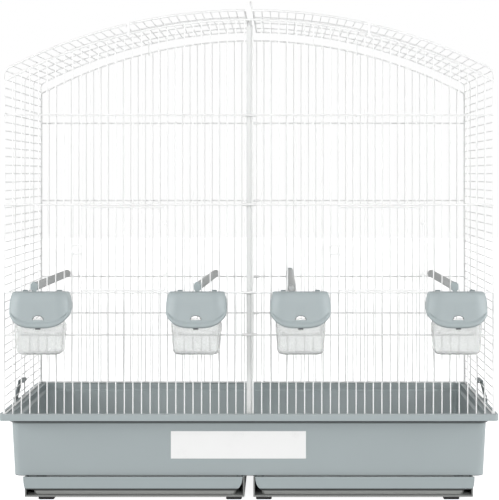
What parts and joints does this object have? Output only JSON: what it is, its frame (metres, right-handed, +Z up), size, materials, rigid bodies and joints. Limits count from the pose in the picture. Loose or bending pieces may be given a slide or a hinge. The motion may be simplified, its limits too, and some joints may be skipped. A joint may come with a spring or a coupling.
{
  "type": "bird cage",
  "caption": "Wire bird cage with an arched roof, split by a sliding divider, on a plastic tub with litter drawers; with doors, hooded clear feeder cups and perches.",
  "frame": {"origin": "centre of the whole cage's footprint, on the plane that its feet stand on", "axes": "+Z up; +Y from the front, where the doors and feeders are, to the back; +X to the right of a person who looks at the front"},
  "size_m": [0.7046, 0.402, 0.7139],
  "materials": {
    "white_wire": "satin white coating",
    "tub": "satin blue-grey",
    "hood": "satin light blue-grey",
    "drawer": "satin grey",
    "clear_cup": "clear",
    "perch": "matt grey",
    "divider": "opaque white sheet",
    "label": "plain white",
    "rubber": "black",
    "pin": "bare"
  },
  "bodies": {
    "cage": {"back_divider_guide_1": "white_wire", "back_divider_guide_2": "white_wire", "back_divider_guide_3": "white_wire", "back_divider_guide_4": "white_wire", "back_left_roof_hook": "white_wire", "back_panel": "white_wire", "back_right_roof_hook": "white_wire", "base_tub": "tub", "foot_back_1": "rubber", "foot_back_2": "rubber", "foot_back_3": "rubber", "foot_back_4": "rubber", "foot_front_1": "rubber", "foot_front_2": "rubber", "foot_front_3": "rubber", "foot_front_4": "rubber", "front_divider_guide_1": "white_wire", "front_divider_guide_2": "white_wire", "front_divider_guide_3": "white_wire", "front_divider_guide_4": "white_wire", "front_label": "label", "front_left_roof_hook": "white_wire", "front_panel": "white_wire", "front_right_roof_hook": "white_wire", "left_clip_pin": "pin", "left_drawer_housing": "tub", "left_side_roof_mesh": "white_wire", "perch_1": "perch", "perch_2": "perch", "perch_3": "perch", "perch_4": "perch", "perch_clip_1": "hood", "perch_clip_2": "hood", "perch_clip_3": "hood", "perch_clip_4": "hood", "right_clip_pin": "pin", "right_drawer_housing": "tub", "right_side_roof_mesh": "white_wire"},
    "left_drawer_body": {"left_drawer": "drawer"},
    "right_drawer_body": {"right_drawer": "drawer"},
    "left_door_body": {"left_door": "white_wire"},
    "right_door_body": {"right_door": "white_wire"},
    "left_door_latch_body": {"left_door_latch": "white_wire"},
    "right_door_latch_body": {"right_door_latch": "white_wire"},
    "left_side_clip_body": {"left_side_clip": "tub"},
    "right_side_clip_body": {"right_side_clip": "tub"},
    "feeder_hood_1_body": {"feeder_hood_1": "hood"},
    "feeder_cup_1_body": {"feeder_cup_1": "clear_cup"},
    "feeder_hood_2_body": {"feeder_hood_2": "hood"},
    "feeder_cup_2_body": {"feeder_cup_2": "clear_cup"},
    "feeder_hood_3_body": {"feeder_hood_3": "hood"},
    "feeder_cup_3_body": {"feeder_cup_3": "clear_cup"},
    "feeder_hood_4_body": {"feeder_hood_4": "hood"},
    "feeder_cup_4_body": {"feeder_cup_4": "clear_cup"},
    "divider_body": {"divider": "divider", "divider_handle": "white_wire"}
  },
  "joints": [
    {"name": "left_drawer_slide", "type": "slide", "parent": "cage", "child": "left_drawer_body", "axis": [0, -1, 0], "range_m": [0, 0.28]},
    {"name": "right_drawer_slide", "type": "slide", "parent": "cage", "child": "right_drawer_body", "axis": [0, -1, 0], "range_m": [0, 0.28]},
    {"name": "left_door_hinge", "type": "hinge", "parent": "cage", "child": "left_door_body", "pos_m": [-0.117, -0.1583, 0.3529], "axis": [0, 0, 1], "range_deg": [0, 90]},
    {"name": "left_latch_hinge", "type": "hinge", "parent": "left_door_body", "child": "left_door_latch_body", "pos_m": [-0.234, -0.1583, 0.3509], "axis": [0, 0, 1], "range_deg": [0, 120]},
    {"name": "right_door_hinge", "type": "hinge", "parent": "cage", "child": "right_door_body", "pos_m": [0.243, -0.1583, 0.3529], "axis": [0, 0, 1], "range_deg": [0, 90]},
    {"name": "right_latch_hinge", "type": "hinge", "parent": "right_door_body", "child": "right_door_latch_body", "pos_m": [0.126, -0.1583, 0.3509], "axis": [0, 0, 1], "range_deg": [0, 120]},
    {"name": "feeder_hood_1_hinge", "type": "hinge", "parent": "cage", "child": "feeder_hood_1_body", "pos_m": [-0.288, -0.15595, 0.2909], "axis": [-1, 0, 0], "range_deg": [0, 60]},
    {"name": "feeder_cup_1_lift", "type": "slide", "parent": "cage", "child": "feeder_cup_1_body", "axis": [0, 0, 1], "range_m": [0, 0.012]},
    {"name": "feeder_hood_2_hinge", "type": "hinge", "parent": "cage", "child": "feeder_hood_2_body", "pos_m": [-0.072, -0.15595, 0.2909], "axis": [-1, 0, 0], "range_deg": [0, 60]},
    {"name": "feeder_cup_2_lift", "type": "slide", "parent": "cage", "child": "feeder_cup_2_body", "axis": [0, 0, 1], "range_m": [0, 0.012]},
    {"name": "feeder_hood_3_hinge", "type": "hinge", "parent": "cage", "child": "feeder_hood_3_body", "pos_m": [0.072, -0.15595, 0.2909], "axis": [-1, 0, 0], "range_deg": [0, 60]},
    {"name": "feeder_cup_3_lift", "type": "slide", "parent": "cage", "child": "feeder_cup_3_body", "axis": [0, 0, 1], "range_m": [0, 0.012]},
    {"name": "feeder_hood_4_hinge", "type": "hinge", "parent": "cage", "child": "feeder_hood_4_body", "pos_m": [0.288, -0.15595, 0.2909], "axis": [-1, 0, 0], "range_deg": [0, 60]},
    {"name": "feeder_cup_4_lift", "type": "slide", "parent": "cage", "child": "feeder_cup_4_body", "axis": [0, 0, 1], "range_m": [0, 0.012]},
    {"name": "left_side_clip_hinge", "type": "hinge", "parent": "cage", "child": "left_side_clip_body", "pos_m": [-0.3499, 0.001, 0.1101], "axis": [0, -1, 0], "range_deg": [0, 90]},
    {"name": "right_side_clip_hinge", "type": "hinge", "parent": "cage", "child": "right_side_clip_body", "pos_m": [0.3499, 0.001, 0.1101], "axis": [0, 1, 0], "range_deg": [0, 90]},
    {"name": "divider_slide", "type": "slide", "parent": "cage", "child": "divider_body", "axis": [0, 0, 1], "range_m": [0, 0.5]}
  ]
}
